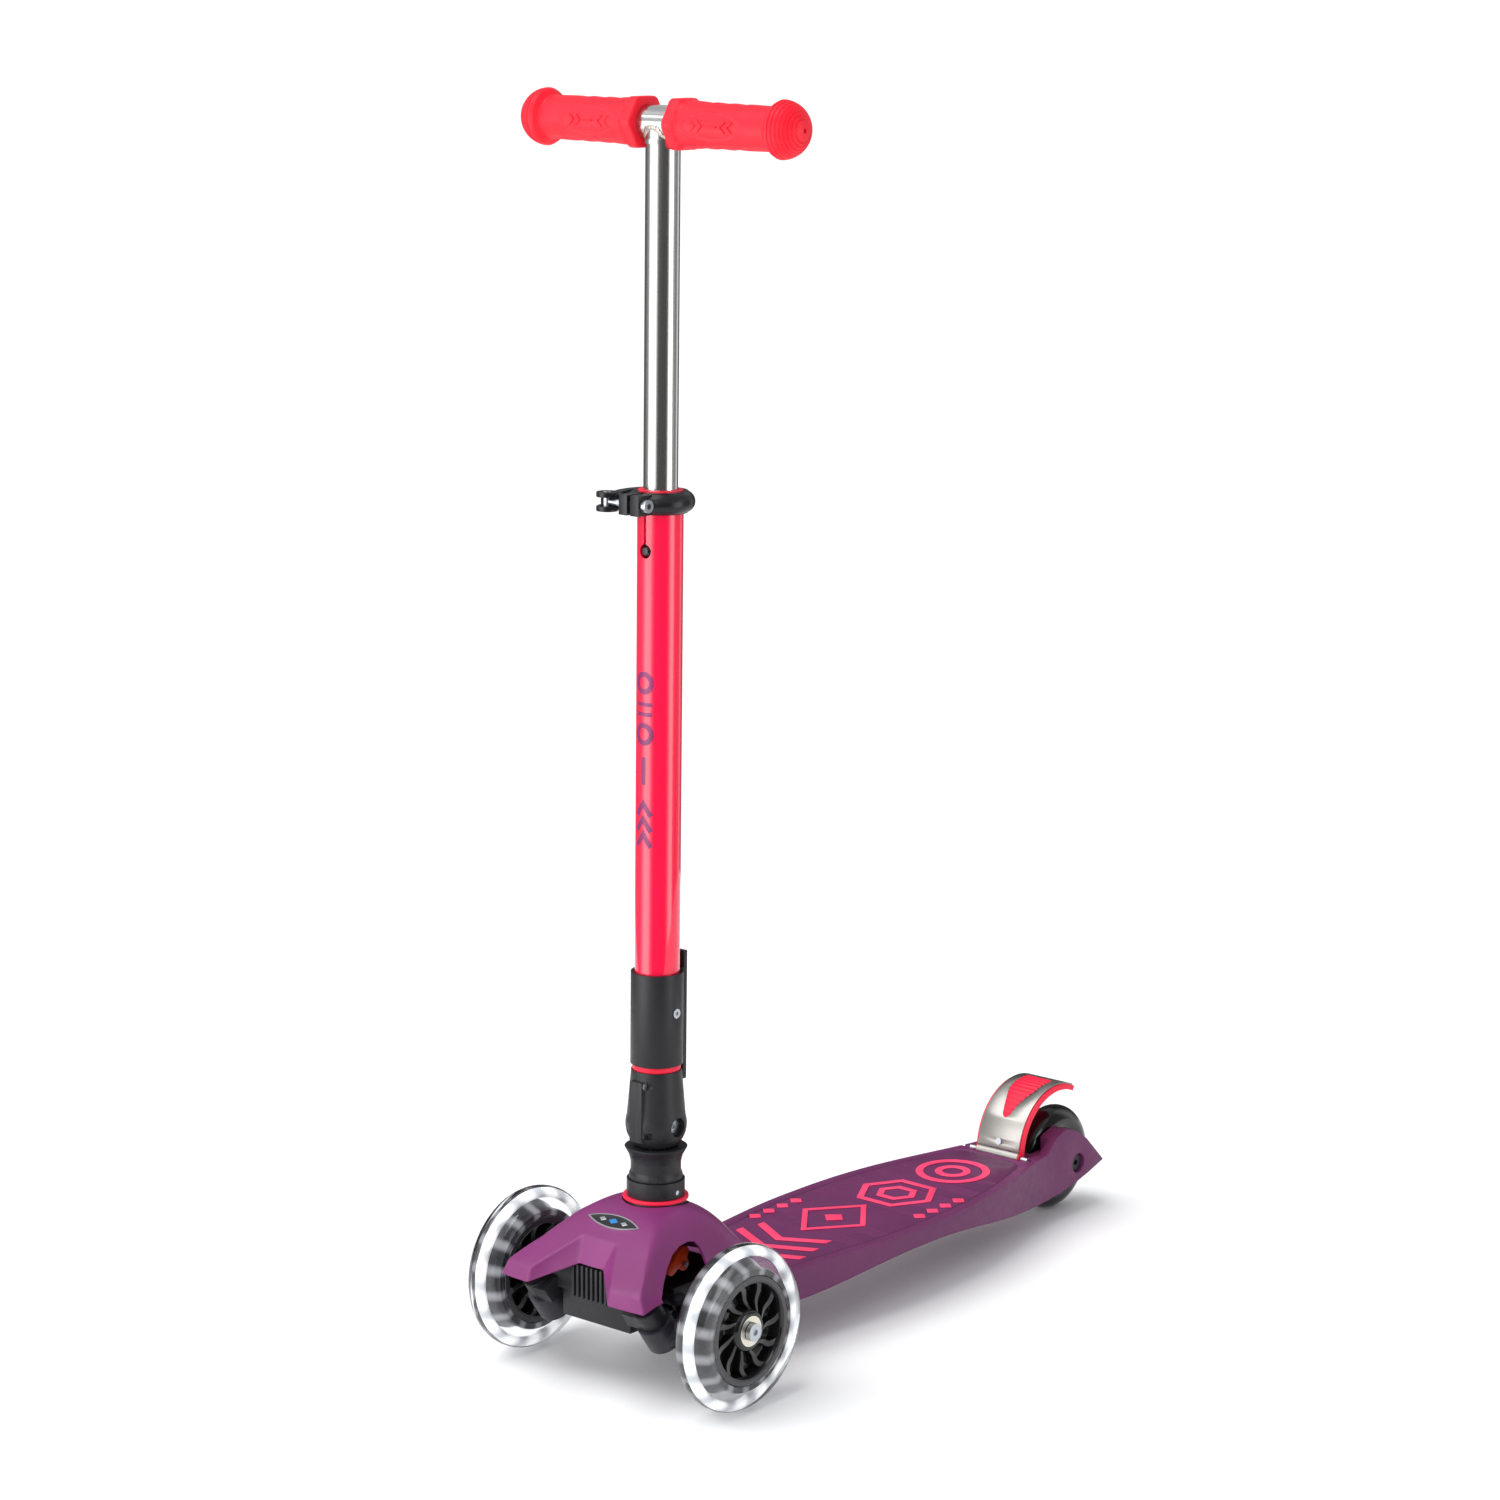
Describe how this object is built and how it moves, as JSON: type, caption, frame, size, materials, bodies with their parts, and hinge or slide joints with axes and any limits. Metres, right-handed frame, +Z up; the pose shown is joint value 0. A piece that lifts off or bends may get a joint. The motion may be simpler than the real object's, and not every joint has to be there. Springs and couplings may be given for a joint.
{
  "type": "kick scooter",
  "caption": "Folding three-wheeled kick scooter for a child: lean-steered front wheels, curved deck, rear fender brake, folding stem and height-adjustable handlebar.",
  "frame": {"origin": "middle of the footprint box, on the floor", "axes": "+Z up, -Y towards the front wheels, +X towards the rider's left"},
  "size_m": [0.2498, 0.6082, 0.9049],
  "materials": {
    "purple_deck": "moulded, fine grain",
    "purple_cover": "moulded, fine grain",
    "pattern_pink": "raised two-shot moulding",
    "black_plastic": "moulded, satin",
    "badge_black": "polished",
    "orange_plastic": "moulded",
    "pink_plastic": "moulded, satin",
    "pink_rubber": "soft grip",
    "pink_paint": "gloss powder coat",
    "steel_tube": "polished steel",
    "brushed_sheet": "brushed along its length",
    "zinc": "zinc plated",
    "bearing_steel": "ground",
    "dark_steel": "black oxide",
    "tyre_clear": "clear cast polyurethane",
    "core_dark": "smoked",
    "tyre_black": "gloss polyurethane",
    "nylon": "nylon"
  },
  "bodies": {
    "chassis": {"deck_shell": "purple_deck", "deck_pattern": "pattern_pink", "body_screws": "zinc", "front_housing": "black_plastic", "front_cover": "purple_cover", "cover_badge": "badge_black", "kingpins": "zinc", "rear_axle": "zinc", "brake_pin": "zinc", "base_seal": "pink_plastic", "column_spigot": "steel_tube", "lower_ring": "black_plastic", "collar": "black_plastic", "hinge_lug": "dark_steel", "fold_pin": "zinc", "release_pin": "zinc"},
    "steer_left": {"knuckle_left": "black_plastic", "axle_left": "zinc"},
    "steer_right": {"knuckle_right": "black_plastic", "axle_right": "zinc"},
    "tie_rod": {"tie_rod": "dark_steel"},
    "wheel_left": {"hub_left": "black_plastic", "core_left": "core_dark", "tyre_left": "tyre_clear", "bearings_left": "bearing_steel"},
    "wheel_right": {"hub_right": "black_plastic", "core_right": "core_dark", "tyre_right": "tyre_clear", "bearings_right": "bearing_steel"},
    "wheel_rear": {"rear_hub": "black_plastic", "rear_tyre": "tyre_black", "rear_bearings": "bearing_steel"},
    "brake": {"brake_fender": "pink_plastic", "brake_plate": "brushed_sheet", "brake_insert": "pink_plastic", "brake_rivet": "zinc", "brake_spring": "zinc"},
    "stem": {"housing_left": "black_plastic", "housing_right": "black_plastic", "housing_screws": "zinc", "stop_ring": "pink_plastic", "outer_tube": "pink_paint", "bolt_guide": "nylon", "lock_spring": "zinc", "spring_seat": "nylon", "tube_bushing": "pink_plastic", "clamp_collar": "black_plastic", "clamp_bolt": "zinc", "cam_pin": "zinc"},
    "sleeve": {"lock_sleeve": "black_plastic", "sleeve_screw": "dark_steel", "lock_bolt": "zinc"},
    "handlebar": {"bar_tube": "steel_tube", "crossbar": "steel_tube", "bar_glider": "nylon", "grip_left": "pink_rubber", "grip_right": "pink_rubber"},
    "button": {"snap_button": "black_plastic"},
    "clamp": {"clamp_lever": "black_plastic"},
    "release": {"release_lever": "orange_plastic"}
  },
  "joints": [
    {"name": "steer_left_pivot", "type": "hinge", "parent": "chassis", "child": "steer_left", "pos_m": [0.052, -0.27185, 0.064], "axis": [0, -0.5736, 0.8192], "range_deg": [-15, 15], "stiffness_Nm_per_rad": 4},
    {"name": "steer_right_pivot", "type": "hinge", "parent": "chassis", "child": "steer_right", "pos_m": [-0.052, -0.27185, 0.064], "axis": [0, -0.5736, 0.8192], "range_deg": [-15, 15]},
    {"name": "tie_rod_pivot", "type": "hinge", "parent": "steer_left", "child": "tie_rod", "pos_m": [0.052, -0.24138, 0.06581], "axis": [0, -0.5736, 0.8192], "range_deg": [-15, 15]},
    {"name": "wheel_left_spin", "type": "hinge", "parent": "steer_left", "child": "wheel_left", "pos_m": [0.099, -0.23585, 0.06], "axis": [1, 0, 0], "continuous": true},
    {"name": "wheel_right_spin", "type": "hinge", "parent": "steer_right", "child": "wheel_right", "pos_m": [-0.099, -0.23585, 0.06], "axis": [1, 0, 0], "continuous": true},
    {"name": "wheel_rear_spin", "type": "hinge", "parent": "chassis", "child": "wheel_rear", "pos_m": [0, 0.26215, 0.042], "axis": [1, 0, 0], "continuous": true},
    {"name": "brake_press", "type": "hinge", "parent": "chassis", "child": "brake", "pos_m": [0, 0.19615, 0.06], "axis": [-1, 0, 0], "range_deg": [0, 13.5], "stiffness_Nm_per_rad": 2, "springref_deg": -5.73},
    {"name": "stem_fold", "type": "hinge", "parent": "chassis", "child": "stem", "pos_m": [0, -0.20985, 0.183], "axis": [-1, 0, 0], "range_deg": [0, 88]},
    {"name": "sleeve_lift", "type": "slide", "parent": "stem", "child": "sleeve", "axis": [0, 0.0175, 0.9998], "range_m": [0, 0.012], "stiffness_N_per_m": 300, "springref_m": -0.02, "deforming": ["lock_spring"]},
    {"name": "bar_height", "type": "slide", "parent": "stem", "child": "handlebar", "axis": [0, 0.0175, 0.9998], "range_m": [-0.225, 0], "deforming": ["snap_button"]},
    {"name": "button_press", "type": "slide", "parent": "handlebar", "child": "button", "axis": [0, 0.9998, -0.0175], "range_m": [0, 0.004], "stiffness_N_per_m": 300, "springref_m": -0.004},
    {"name": "clamp_open", "type": "hinge", "parent": "stem", "child": "clamp", "pos_m": [-0.025, -0.22909, 0.6279], "axis": [0, 0.0175, 0.9998], "range_deg": [0, 140]},
    {"name": "release_press", "type": "hinge", "parent": "chassis", "child": "release", "pos_m": [0.0194, -0.21158, 0.08402], "axis": [1, 0, 0], "range_deg": [0, 15], "stiffness_Nm_per_rad": 0.5, "springref_deg": -5.73}
  ],
  "couplings": [
    {"joint": "steer_right_pivot", "follows": "steer_left_pivot", "ratio": 1},
    {"joint": "tie_rod_pivot", "follows": "steer_left_pivot", "ratio": -1}
  ]
}
